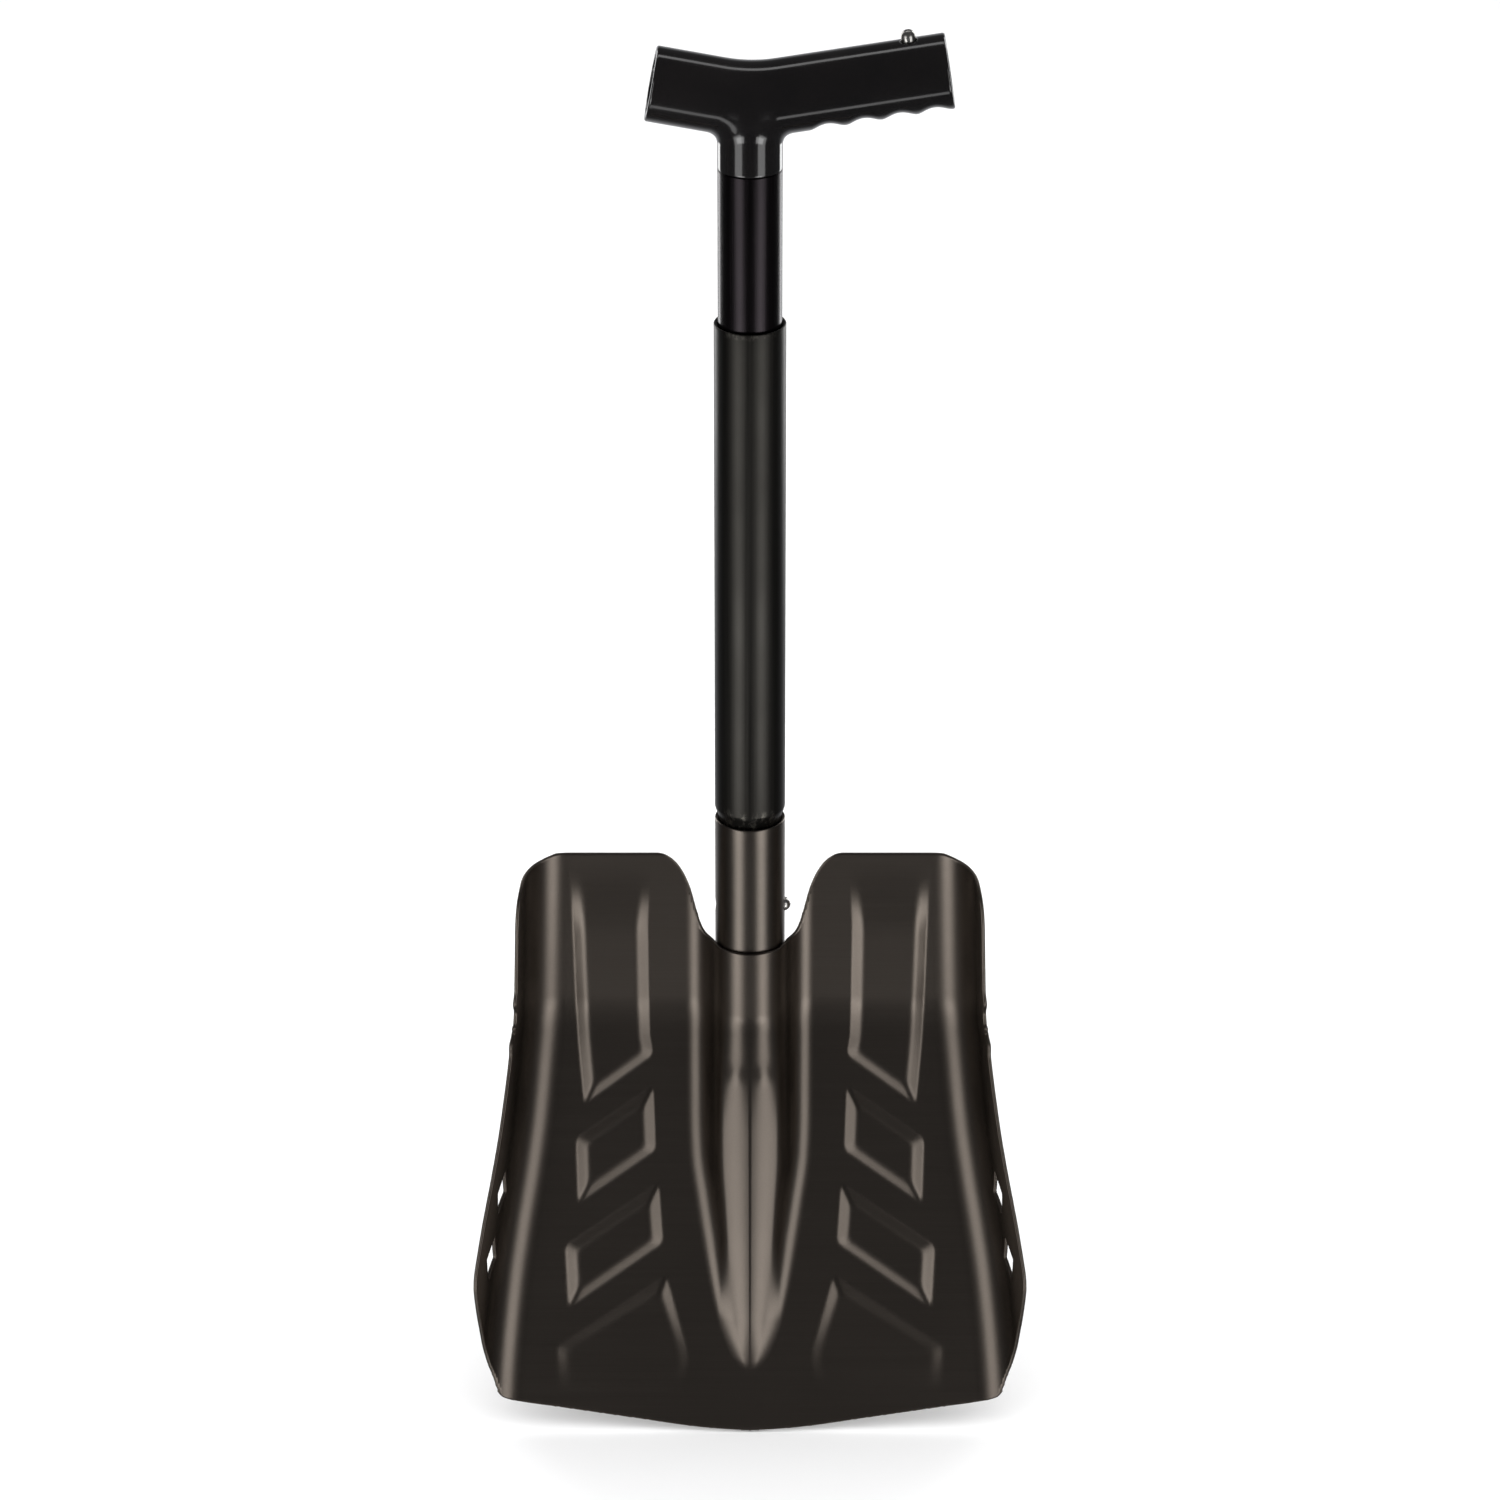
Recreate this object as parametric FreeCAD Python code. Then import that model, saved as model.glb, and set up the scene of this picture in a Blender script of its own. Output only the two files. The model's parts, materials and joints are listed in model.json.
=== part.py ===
import FreeCAD, Part
import math
import os
from FreeCAD import Matrix, Placement, Rotation, Vector

# Collapsible avalanche shovel, assembled and shortened: blade, lower shaft
# and T-handle. Millimetres. +Z runs up the shaft from the blade to the grip,
# the scoop faces -Y, X is left to right. The origin is the centre of the
# blade socket's mouth.

os.makedirs("parts", exist_ok=True)

# ---- driving dimensions -------------------------------------------------
LEAN = math.radians(25.5)      # lower flat of the blade against the shaft
SHEET = 1.7                    # blade sheet thickness
FLOOR_Y = 3.0                  # front face of the upper blade plate
BEND_Z = -103.2                # sharp corner of the cross bend
BEND_R = 40.0                  # inner radius of the cross bend
BLADE_TOP = -82.2              # stations along the blade from the bend
BLADE_LOW = 204.0
WALL_FILLET = 20.0
WALL_REACH = 44.0              # wall height before the rim is trimmed
RIDGE_R = 18.1                 # outside of the half-round over the socket
RIDGE_FOOT_R = 14.0
PROW_END = 168.0
PAD_RISE = 2.2                 # height of the stamped panels
PAD_SLOPE = 4.4                # width of their sloping edges

TUBE_R = 16.0                  # 32 mm tube: socket and lower shaft
TUBE_BORE = 14.5
SMALL_R = 14.2                 # swaged end and upper shaft
SMALL_BORE = 12.7
SOCKET_LEN = 124.0
SOCKET_HOLE_Z = -45.0
SNAP_HOLE_R = 3.7

LOWER_END_Z = -88.0            # swaged end, seated in the socket
SHOULDER_Z = 0.3
SHOULDER_LEN = 6.0
LOWER_TOP_Z = 241.0
FAR_HOLE_Z = 224.0             # lock for the long handle
NEAR_HOLE_Z = 103.3            # lock for the short handle

UPPER_END_Z = 58.3
LIP_Z = 312.3                  # joint between the upper shaft and the grip

ARM_HIGH = 16.6                # half height and half depth of the grip arms
ARM_DEEP = 15.4
ARM_BORE = 12.6
ARM_Z = LIP_Z + 30.6
RIGHT_RISE = math.radians(9.0)
LEFT_RISE = math.radians(10.5)
RIGHT_LEN = 87.0
LEFT_LEN = 43.5
SADDLE_R = 80.0

BUTTON_R = 3.25
BUTTON_OUT = 4.5


# ---- small helpers --------------------------------------------------------
def tube(outer, inner, low, high):
    """Round tube on the Z axis."""
    length = high - low
    solid = Part.makeCylinder(outer, length, Vector(0, 0, low))
    bore = Part.makeCylinder(inner, length + 2, Vector(0, 0, low - 1))
    return solid.cut(bore)


def smooth(value):
    """Ease from 0 to 1."""
    value = min(1.0, max(0.0, value))
    return value * value * (3 - 2 * value)


def along(table, value):
    """Straight-line reading of a short list of (position, size) pairs."""
    if value <= table[0][0]:
        return table[0][1]
    for (a, low), (b, high) in zip(table, table[1:]):
        if value <= b:
            return low + (high - low) * (value - a) / (b - a)
    return table[-1][1]


def closed_prism(points, push):
    """Straight-sided prism through a ring of points."""
    ring = Part.makePolygon(points + [points[0]])
    return Part.Face(ring).extrude(push)


def curve_prism(curve_points, closing, push):
    """Prism whose outline is a smooth curve closed by straight lines."""
    curve = Part.BSplineCurve()
    curve.interpolate(curve_points)
    ring = [curve.toShape()]
    chain = [curve_points[-1]] + closing + [curve_points[0]]
    for start, end in zip(chain, chain[1:]):
        ring.append(Part.makeLine(start, end))
    return Part.Face(Part.Wire(ring)).extrude(push)


def save(shape, node):
    """Write one piece."""
    shape.exportStep("parts/" + node + ".step")


# ---- blade sheet ------------------------------------------------------------
def floor_frame(station):
    """Point, downward direction and front normal of the blade floor."""
    half = BEND_R * LEAN / 2
    setback = BEND_R * math.tan(LEAN / 2)
    turn = min(LEAN, max(0.0, (station + half) / BEND_R))
    centre = Vector(0, FLOOR_Y - BEND_R, BEND_Z + setback)
    normal = Vector(0, -math.cos(turn), math.sin(turn))
    down = Vector(0, -math.sin(turn), -math.cos(turn))
    point = centre - normal * BEND_R
    if station < -half:
        point = point - down * (-half - station)
    if station > half:
        point = point + down * (station - half)
    return point, down, normal


def on_blade(x, station, height):
    """Point at a station, raised from the floor toward the front."""
    point, down, normal = floor_frame(station)
    return Vector(x, 0, 0) + point + normal * height


def ridge_foot(station):
    """Half width of the central ridge where it meets the floor."""
    table = [(20, 30.2), (45, 30.1), (65, 29.4), (87, 26.5), (115, 22.0),
             (142, 16.0), (158, 10.0), (PROW_END, 4.5)]
    return along(table, station)


def ridge_crest(station):
    """Height of the ridge's middle line over the floor."""
    table = [(5, 21.1), (20, 20.8), (30, 20.3), (45, 19.1), (65, 16.8), (87, 13.7),
             (101, 11.7), (115, 9.5), (129, 7.3), (142, 5.1), (151, 3.4),
             (160, 1.6), (PROW_END, 0.0)]
    return along(table, station)


def prow_height(x, foot, crest):
    """Creased prow: gentle top faces, steep flanks, hollow foot."""
    top = min(0.36, 1.3 * crest / foot)
    top_end = 0.38 * foot
    hollow = min(RIDGE_FOOT_R, 0.59 * foot)
    low, high = 0.0, math.radians(80)
    for _ in range(40):
        angle = (low + high) / 2
        flank_end = foot - hollow * math.sin(angle)
        drop = top * top_end + hollow * (1 - math.cos(angle))
        drop += (top + math.tan(angle)) / 2 * (flank_end - top_end)
        if drop < crest:
            low = angle
        else:
            high = angle
    if x >= flank_end:
        inside = max(0.0, foot - x)
        return hollow - math.sqrt(hollow ** 2 - inside ** 2)
    height = crest - top * min(x, top_end)
    if x > top_end:
        run = x - top_end
        growth = (math.tan(angle) - top) / (flank_end - top_end)
        height -= top * run + growth * run ** 2 / 2
    return height


def ridge_height(x, station):
    """Half-round over the socket that thins out into a prow."""
    foot = ridge_foot(station)
    flank = math.radians(70)
    reach = abs(x) * 30.2 / foot
    turn_x = RIDGE_R * math.sin(flank)
    if reach < turn_x:
        round_top = FLOOR_Y + math.sqrt(RIDGE_R ** 2 - reach ** 2)
    else:
        inside = max(0.0, 30.2 - reach)
        drop = math.sqrt(max(0.0, RIDGE_FOOT_R ** 2 - inside ** 2))
        round_top = RIDGE_FOOT_R - drop
    crest = ridge_crest(station)
    if crest <= 0.05 or abs(x) >= foot:
        return 0.0
    mix = smooth((station - 5) / 55)
    return (1 - mix) * round_top * crest / 21.1 + mix * prow_height(abs(x), foot, crest)


def floor_end(station):
    """Half width of the flat floor, where the side wall's bend starts."""
    table = [(-90, 83.0), (0, 85.6), (20, 87.2), (50, 90.0), (75, 93.4),
             (100, 97.4), (125, 100.9), (165, 104.6), (210, 107.0)]
    return along(table, station)


def wall_lean(station):
    """Angle of the side wall against the floor, steeper near the top."""
    table = [(-90, 81), (10, 80), (50, 76), (100, 72.5), (140, 71), (210, 70)]
    return math.radians(along(table, station))


def half_section(station):
    """One half of the pressed section, centre to rim, as (x, height)."""
    foot = ridge_foot(station)
    start = floor_end(station)
    lean = wall_lean(station)
    rows = []
    for i in range(12):
        x = foot * i / 11
        rows.append((x, ridge_height(x, station)))
    for i in range(1, 9):
        rows.append((foot + (start - foot) * i / 8, 0.0))
    for i in range(1, 7):
        angle = lean * i / 6
        rows.append((start + WALL_FILLET * math.sin(angle),
                     WALL_FILLET * (1 - math.cos(angle))))
    top_x, top_h = rows[-1]
    for i in range(1, 4):
        rise = (WALL_REACH - top_h) * i / 3
        rows.append((top_x + rise / math.tan(lean), top_h + rise))
    return rows


def sheet_row(station):
    """Front points of the whole section at one station."""
    half = half_section(station)
    row = [on_blade(-x, station, h) for x, h in reversed(half[1:])]
    row += [on_blade(x, station, h) for x, h in half]
    return row


def stations():
    """Stations of the pressed sections, closer together at the bend."""
    marks = [BLADE_TOP + i * 7.0 for i in range(9)]
    marks += [-20 + i * 4.0 for i in range(11)]
    marks += [28 + i * 8.0 for i in range(22)]
    marks.append(BLADE_LOW)
    return marks


def behind(grid, distance):
    """The same grid of points, moved back along the surface normals."""
    moved = []
    rows = len(grid)
    cols = len(grid[0])
    for i in range(rows):
        line = []
        for j in range(cols):
            along_s = grid[min(rows - 1, i + 1)][j] - grid[max(0, i - 1)][j]
            along_x = grid[i][min(cols - 1, j + 1)] - grid[i][max(0, j - 1)]
            normal = along_s.cross(along_x)
            normal.normalize()
            line.append(grid[i][j] - normal * distance)
        moved.append(line)
    return moved


def grid_face(grid):
    """Smooth face through a grid of points."""
    surface = Part.BSplineSurface()
    surface.interpolate(grid)
    return surface.toShape()


def pressed_sheet():
    """The whole pressing before it is trimmed."""
    front = [sheet_row(s) for s in stations()]
    back = behind(front, SHEET)
    middle = back[len(back) // 2][len(back[0]) // 2]
    if middle.y < front[len(back) // 2][len(back[0]) // 2].y:
        back = behind(front, -SHEET)
    faces = [grid_face(front), grid_face(back)]
    pairs = [(front[0], back[0]), (front[-1], back[-1]),
             ([r[0] for r in front], [r[0] for r in back]),
             ([r[-1] for r in front], [r[-1] for r in back])]
    front_edges = faces[0].Edges
    back_edges = faces[1].Edges
    for near, _ in pairs:
        middle = near[len(near) // 2]
        probe = Part.Vertex(middle)
        a = min(front_edges, key=lambda e: e.distToShape(probe)[0])
        b = min(back_edges, key=lambda e: e.distToShape(probe)[0])
        faces.append(Part.makeRuledSurface(a, b))
    shell = Part.makeCompound(faces)
    shell.sewShape(0.01)
    solid = Part.Solid(shell.Shells[0])
    if solid.Volume < 0:
        solid.reverse()
    return solid


def rim_height(station):
    """Height of the side wall's rim over the floor."""
    table = [(-92, 0.6), (-82.2, 0.9), (-80.6, 2.6), (-78.8, 8.0), (-76.5, 14.5),
             (-73.5, 20.5), (-70, 25.0), (-65, 27.8), (-58, 29.0), (0, 29.5),
             (60, 31.0), (100, 32.2), (118, 32.2), (125, 31.0), (131, 28.0),
             (140, 22.4), (150, 15.6), (160, 9.6), (170, 5.2), (179, 3.2),
             (190, 2.4), (BLADE_LOW + 6, 2.0)]
    return along(table, station)


def rim_teeth(station):
    """Three rounded teeth on the rim beside the cross bend."""
    for low, high in ((-26.0, -14.5), (-14.5, 8.5), (8.5, 19.5)):
        if low < station < high:
            return 2.4 * math.sin(math.pi * (station - low) / (high - low)) ** 2
    return 0.0


def rim_cutters():
    """Prisms that take away the wall above the rim, left and right."""
    marks = [-92 + i * 1.5 for i in range(201)]
    line = [on_blade(0, s, rim_height(s) + rim_teeth(s)) for s in marks]
    far = [Vector(0, -420, line[-1].z), Vector(0, -420, line[0].z + 60),
           Vector(0, line[0].y, line[0].z + 60)]
    cutters = []
    for start, push in ((62, 90), (-62, -90)):
        shifted = [p + Vector(start, 0, 0) for p in line]
        closing = [p + Vector(start, 0, 0) for p in far]
        cutters.append(curve_prism(shifted, closing, Vector(push, 0, 0)))
    return cutters


def notch_cutter():
    """U-shaped opening in the top edge, around the socket."""
    half = [(46, -20.4), (40, -21.3), (34.5, -25.0), (30.4, -31.2),
            (27.6, -38.6), (25.0, -49.5), (23.2, -56.0), (20.4, -60.6),
            (14.0, -62.2)]
    side = [Vector(x, -60, z) for x, z in half]
    mirror = [Vector(-x, -60, z) for x, z in reversed(half)]
    closing = [Vector(-46, -60, 20), Vector(46, -60, 20)]
    return curve_prism(side + mirror, closing, Vector(0, 120, 0))


def lower_edge_cutter():
    """Everything beyond the cutting edge and its blunt point."""
    half = [(0, 194.6), (20, 193.0), (54, 188.6), (90, 183.4), (108, 180.8),
            (114, 179.0), (118, 174.0), (124, 160.0)]
    right = [on_blade(x, s, 60) for x, s in half]
    left = [on_blade(-x, s, 60) for x, s in half]
    right.append(on_blade(170, 160, 60))
    left.append(on_blade(-170, 160, 60))
    outer = [on_blade(170, 260, 60), on_blade(-170, 260, 60)]
    ring = right + outer + list(reversed(left[1:]))
    point, down, normal = floor_frame(100)
    return closed_prism(ring, normal * -90)


def wall_windows():
    """Diamond-shaped windows through the side walls."""
    cutters = []
    for centre in (82.5, 113.0):
        for start, push in ((88, 60), (-88, -60)):
            corners = [(centre - 9.6, 17), (centre, 12), (centre + 9.6, 17), (centre, 22)]
            ring = [on_blade(start, s, h) for s, h in corners]
            cutters.append(closed_prism(ring, Vector(push, 0, 0)))
    return cutters


def inset(ring, distance):
    """Ring of (x, station) corners moved inward."""
    area = sum(a[0] * b[1] - b[0] * a[1] for a, b in zip(ring, ring[1:] + ring[:1]))
    sign = 1 if area > 0 else -1
    count = len(ring)
    lines = []
    for i in range(count):
        (x0, s0), (x1, s1) = ring[i], ring[(i + 1) % count]
        length = math.hypot(x1 - x0, s1 - s0)
        nx, ns = -(s1 - s0) / length * sign, (x1 - x0) / length * sign
        lines.append((x0 + nx * distance, s0 + ns * distance, x1 - x0, s1 - s0))
    moved = []
    for i in range(count):
        ax, ay, au, av = lines[i - 1]
        bx, by, bu, bv = lines[i]
        cross = au * bv - av * bu
        t = ((bx - ax) * bv - (by - ay) * bu) / cross
        moved.append((ax + au * t, ay + av * t))
    return moved


def flat_pad(ring, shift, side, fade=None):
    """Raised panel with sloping edges on the lower flat."""
    top = inset(ring, PAD_SLOPE)
    low = shift - 0.4
    wires = []
    foot = inset(ring, -PAD_SLOPE * 0.4 / PAD_RISE)
    base = [on_blade(side * x, s, low) for x, s in foot]
    wires.append(Part.makePolygon(base + [base[0]]))
    crown = []
    for x, s in top:
        rise = PAD_RISE if fade is None else PAD_RISE * fade(s)
        crown.append(on_blade(side * x, s, shift + rise))
    wires.append(Part.makePolygon(crown + [crown[0]]))
    return Part.makeLoft(wires, True, True)


def long_pad(shift, side):
    """Raised panel that runs from the top edge over the cross bend."""
    rows = [(-74.0, 83.0, 45.2, 0.1), (-60.0, 82.2, 46.2, 1.2), (-42.0, 81.6, 47.2, PAD_RISE),
            (-9.0, 80.8, 47.0, PAD_RISE), (-4.5, 80.6, 47.0, PAD_RISE),
            (0.0, 80.4, 47.0, PAD_RISE), (4.5, 80.3, 46.8, PAD_RISE),
            (9.0, 80.0, 46.6, PAD_RISE), (None, 77.6, 45.4, PAD_RISE),
            (None, 76.6, 44.6, 0.1)]
    ends = [(37.2, 14.4), (43.0, 20.2)]
    wires = []
    for i, (station, outer, inner, rise) in enumerate(rows):
        if station is None:
            out_s, in_s = ends[i - len(rows) + 2]
        else:
            out_s, in_s = station, station
        ring = []
        for x, height in ((outer + 0.8, -0.4), (outer - PAD_SLOPE, rise),
                          (inner + PAD_SLOPE, rise), (inner - 0.8, -0.4)):
            place = out_s + (in_s - out_s) * (outer - x) / (outer - inner)
            ring.append(on_blade(side * x, place, shift + height))
        wires.append(Part.makePolygon(ring + [ring[0]]))
    return Part.makeLoft(wires, True, True)


PANELS = [
    [(81.0, 58.4), (44.8, 33.4), (43.6, 64.4), (80.0, 89.6)],
    [(86.0, 108.2), (42.2, 78.8), (40.2, 107.6), (84.4, 138.2)],
]
LAST_PANEL = [(90.0, 155.0), (38.8, 121.8), (27.6, 160.0), (34.0, 172.0), (86.0, 172.0)]


def last_fade(s):
    """The last panel runs out toward the cutting edge."""
    return (174.0 - s) / 52.0


def pads(shift):
    """All the stamped panels, left and right."""
    shapes = []
    for side in (1, -1):
        shapes.append(long_pad(shift, side))
        for ring in PANELS:
            shapes.append(flat_pad(ring, shift, side))
        shapes.append(flat_pad(LAST_PANEL, shift, side, last_fade))
    return shapes


def blade_sheet():
    """Pressed aluminium blade."""
    sheet = pressed_sheet()
    sheet = sheet.fuse(pads(0.0))
    sheet = sheet.cut(pads(-SHEET))
    sheet = sheet.cut(rim_cutters())
    sheet = sheet.cut(wall_windows())
    sheet = sheet.cut([notch_cutter(), lower_edge_cutter()])
    return max(sheet.Solids, key=lambda s: s.Volume)


# ---- socket -------------------------------------------------------------------
def snap_hole(z, direction, reach=30.0):
    """Drill for a snap hole from the axis outward."""
    return Part.makeCylinder(SNAP_HOLE_R, reach, Vector(0, 0, z), direction)


def socket_tube():
    """Tube welded into the ridge, square at both ends, with two snap holes."""
    body = tube(TUBE_R, TUBE_BORE, -SOCKET_LEN, 0)
    for way in (Vector(1, 0, 0), Vector(-1, 0, 0)):
        body = body.cut(snap_hole(SOCKET_HOLE_Z, way))
    return max(body.Solids, key=lambda s: s.Volume)


def socket_weld(side, sheet, socket):
    """Weld bead between the socket and the inside of the ridge."""
    bead = Part.makeCylinder(2.6, 44, Vector(side * 18.0, 0.4, -112))
    bead = bead.fuse(Part.makeSphere(2.6, Vector(side * 18.0, 0.4, -112)))
    bead = bead.fuse(Part.makeSphere(2.6, Vector(side * 18.0, 0.4, -68)))
    core = Part.makeCylinder(TUBE_R, 80, Vector(0, 0, -140))
    bead = bead.cut([core, sheet])
    return max(bead.Solids, key=lambda s: s.Volume)


# ---- shafts -------------------------------------------------------------------
def lower_shaft_tube():
    """Lower shaft: swaged end, conical shoulder, wide tube, two holes."""
    wide_z = SHOULDER_Z + SHOULDER_LEN
    outline = [(SMALL_BORE, LOWER_END_Z + 0.3), (SMALL_R - 1.2, LOWER_END_Z),
               (SMALL_R, LOWER_END_Z + 1.2), (SMALL_R, SHOULDER_Z),
               (TUBE_R, wide_z), (TUBE_R, LOWER_TOP_Z - 0.4),
               (TUBE_R - 0.4, LOWER_TOP_Z), (TUBE_BORE, LOWER_TOP_Z),
               (TUBE_BORE, wide_z + 2.0), (SMALL_BORE, SHOULDER_Z + 2.0)]
    ring = [Vector(x, 0, z) for x, z in outline]
    face = Part.Face(Part.makePolygon(ring + [ring[0]]))
    body = face.revolve(Vector(0, 0, 0), Vector(0, 0, 1), 360)
    body = body.cut(snap_hole(SOCKET_HOLE_Z, Vector(1, 0, 0)))
    for z in (NEAR_HOLE_Z, FAR_HOLE_Z):
        body = body.cut(snap_hole(z, Vector(0, 1, 0)))
    return body


def upper_shaft_tube():
    """Plain tube of the handle, with the holes for its button and pin."""
    body = tube(SMALL_R, SMALL_BORE, UPPER_END_Z, LIP_Z)
    body = body.cut(snap_hole(NEAR_HOLE_Z, Vector(0, 1, 0)))
    pin = Part.makeCylinder(2.0, 40, Vector(-20, 0, LIP_Z - 16), Vector(1, 0, 0))
    return body.cut(pin)


# ---- snap buttons ---------------------------------------------------------------
def seat(origin, outward, along_tube):
    """Placement that lays local X outward and local Z along the tube."""
    side = along_tube.cross(outward)
    matrix = Matrix(outward.x, side.x, along_tube.x, origin.x,
                    outward.y, side.y, along_tube.y, origin.y,
                    outward.z, side.z, along_tube.z, origin.z,
                    0, 0, 0, 1)
    return Placement(matrix)


def snap_button(surface, flange, place):
    """Domed pin with the flange that stops it inside the wall."""
    shank_end = surface + BUTTON_OUT - BUTTON_R
    axis = Vector(1, 0, 0)
    shank = Part.makeCylinder(BUTTON_R, shank_end - flange, Vector(flange, 0, 0), axis)
    disc = Part.makeCylinder(4.6, 0.9, Vector(flange, 0, 0), axis)
    dome = Part.makeSphere(BUTTON_R, Vector(shank_end, 0, 0))
    keep = Part.makeBox(20, 20, 20, Vector(shank_end - 1, -10, -10))
    body = shank.fuse([disc, dome.common(keep)]).removeSplitter()
    body.Placement = place
    return body


def snap_spring(leg, far_leg, place):
    """U-shaped leaf spring behind a snap button."""
    thick = 0.6
    middle = (leg - far_leg) / 2
    outer = (leg + far_leg) / 2
    bend_z = 24.0

    def hairpin(radius, low):
        half = Part.makeCylinder(radius, 8, Vector(middle, -4, bend_z), Vector(0, 1, 0))
        upper = Part.makeBox(60, 8, 40, Vector(middle - 30, -4, bend_z))
        legs = Part.makeBox(2 * radius, 8, bend_z - low, Vector(middle - radius, -4, low))
        return half.common(upper).fuse(legs)

    body = hairpin(outer, -8.0).cut(hairpin(outer - thick, -9.0))
    body = body.removeSplitter()
    body.Placement = place
    return body


# ---- grip -----------------------------------------------------------------------
RIGHT_AXIS = Vector(math.cos(RIGHT_RISE), 0, math.sin(RIGHT_RISE))
RIGHT_UP = Vector(-math.sin(RIGHT_RISE), 0, math.cos(RIGHT_RISE))
LEFT_AXIS = Vector(-math.cos(LEFT_RISE), 0, math.sin(LEFT_RISE))
ARM_ROOT = Vector(0, 0, ARM_Z)


def arm_spine():
    """Centre line of both arms with the curved saddle between them."""
    turn = RIGHT_RISE + LEFT_RISE
    setback = SADDLE_R * math.tan(turn / 2)
    start = ARM_ROOT + LEFT_AXIS * LEFT_LEN
    near = ARM_ROOT + LEFT_AXIS * setback
    far = ARM_ROOT + RIGHT_AXIS * setback
    end = ARM_ROOT + RIGHT_AXIS * RIGHT_LEN
    centre = near + Vector(math.sin(LEFT_RISE), 0, math.cos(LEFT_RISE)) * SADDLE_R
    middle = centre + (ARM_ROOT - centre).normalize() * SADDLE_R
    arc = Part.Arc(near, middle, far).toShape()
    return Part.Wire([Part.makeLine(start, near), arc, Part.makeLine(far, end)])


def arm_section():
    """Oval section at the short arm's end."""
    end = ARM_ROOT + LEFT_AXIS * LEFT_LEN
    up = Vector(math.sin(LEFT_RISE), 0, math.cos(LEFT_RISE))
    ellipse = Part.Ellipse(end + up * ARM_HIGH, end + Vector(0, ARM_DEEP, 0), end)
    return Part.Wire([ellipse.toShape()])


def grip_body():
    """Moulded T-grip: two hollow arms, neck and spigot."""
    arms = arm_spine().makePipeShell([arm_section()], True, True)
    neck = Part.makeCylinder(SMALL_R, ARM_Z - LIP_Z, Vector(0, 0, LIP_Z))
    body = arms.fuse(neck).removeSplitter()
    body = soften_neck(body)
    cutters = []
    for centre in (28.0, 43.8, 59.4, 74.6):
        low = ARM_ROOT + RIGHT_AXIS * (centre + 3.5) - RIGHT_UP * (ARM_HIGH + 7.2)
        cutters.append(Part.makeCylinder(9.0, 60, low - Vector(0, 30, 0), Vector(0, 1, 0)))
    bore_start = ARM_ROOT + RIGHT_AXIS * 24
    cutters.append(Part.makeCylinder(ARM_BORE, RIGHT_LEN, bore_start, RIGHT_AXIS))
    bore_start = ARM_ROOT + LEFT_AXIS * 22
    cutters.append(Part.makeCylinder(ARM_BORE, LEFT_LEN, bore_start, LEFT_AXIS))
    hole_start = ARM_ROOT + RIGHT_AXIS * GRIP_BUTTON_AT
    cutters.append(Part.makeCylinder(SNAP_HOLE_R, 30, hole_start, RIGHT_UP))
    body = body.cut(cutters)
    spigot = tube(SMALL_BORE - 0.1, 9.0, LIP_Z - 32, LIP_Z + 1)
    body = body.fuse(spigot)
    body = body.cut(Part.makeCylinder(9.0, 12, Vector(0, 0, LIP_Z - 1)))
    pin = Part.makeCylinder(2.0, 40, Vector(-20, 0, LIP_Z - 16), Vector(1, 0, 0))
    body = body.cut(pin)
    return max(body.Solids, key=lambda s: s.Volume)


def soften_neck(body):
    """Round the corner between the neck and the arms."""
    edges = []
    for edge in body.Edges:
        box = edge.BoundBox
        inside = max(abs(box.XMin), abs(box.XMax)) < SMALL_R + 1
        if inside and LIP_Z + 8 < box.ZMin and box.ZMax < ARM_Z + 2:
            edges.append(edge)
    for radius in (7.0, 5.0, 3.0):
        try:
            rounded = body.makeFillet(radius, edges)
        except Exception:
            continue
        if rounded.isValid():
            return rounded
    return body


def grip_pin():
    """Flush pin that locks the spigot in the upper shaft."""
    return Part.makeCylinder(1.98, 2 * SMALL_R - 0.4,
                             Vector(-SMALL_R + 0.2, 0, LIP_Z - 16), Vector(1, 0, 0))


GRIP_BUTTON_AT = 71.4


# ---- all pieces -----------------------------------------------------------------
def build():
    """Make and write every piece."""
    sheet = blade_sheet()
    socket = socket_tube()
    save(sheet, "blade_sheet")
    save(socket, "socket_tube")
    save(socket_weld(-1, sheet, socket), "socket_weld_left")
    save(socket_weld(1, sheet, socket), "socket_weld_right")
    save(lower_shaft_tube(), "lower_shaft_tube")
    save(upper_shaft_tube(), "upper_shaft_tube")
    save(grip_body(), "grip_body")
    save(grip_pin(), "grip_cross_pin")
    up = Vector(0, 0, 1)
    lower = seat(Vector(0, 0, SOCKET_HOLE_Z), Vector(1, 0, 0), up)
    upper = seat(Vector(0, 0, NEAR_HOLE_Z), Vector(0, 1, 0), up)
    grip = seat(ARM_ROOT + RIGHT_AXIS * GRIP_BUTTON_AT, RIGHT_UP, RIGHT_AXIS * -1)
    for name, place, surface, bore in (("lower_shaft", lower, SMALL_R, SMALL_BORE),
                                       ("upper_shaft", upper, SMALL_R, SMALL_BORE),
                                       ("grip", grip, ARM_HIGH, ARM_BORE)):
        flange = bore - 2.0
        save(snap_button(surface, flange, place), name + "_snap_button")
        save(snap_spring(flange, bore - 0.7, place), name + "_snap_spring")


build()
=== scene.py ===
import json
import math

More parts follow.
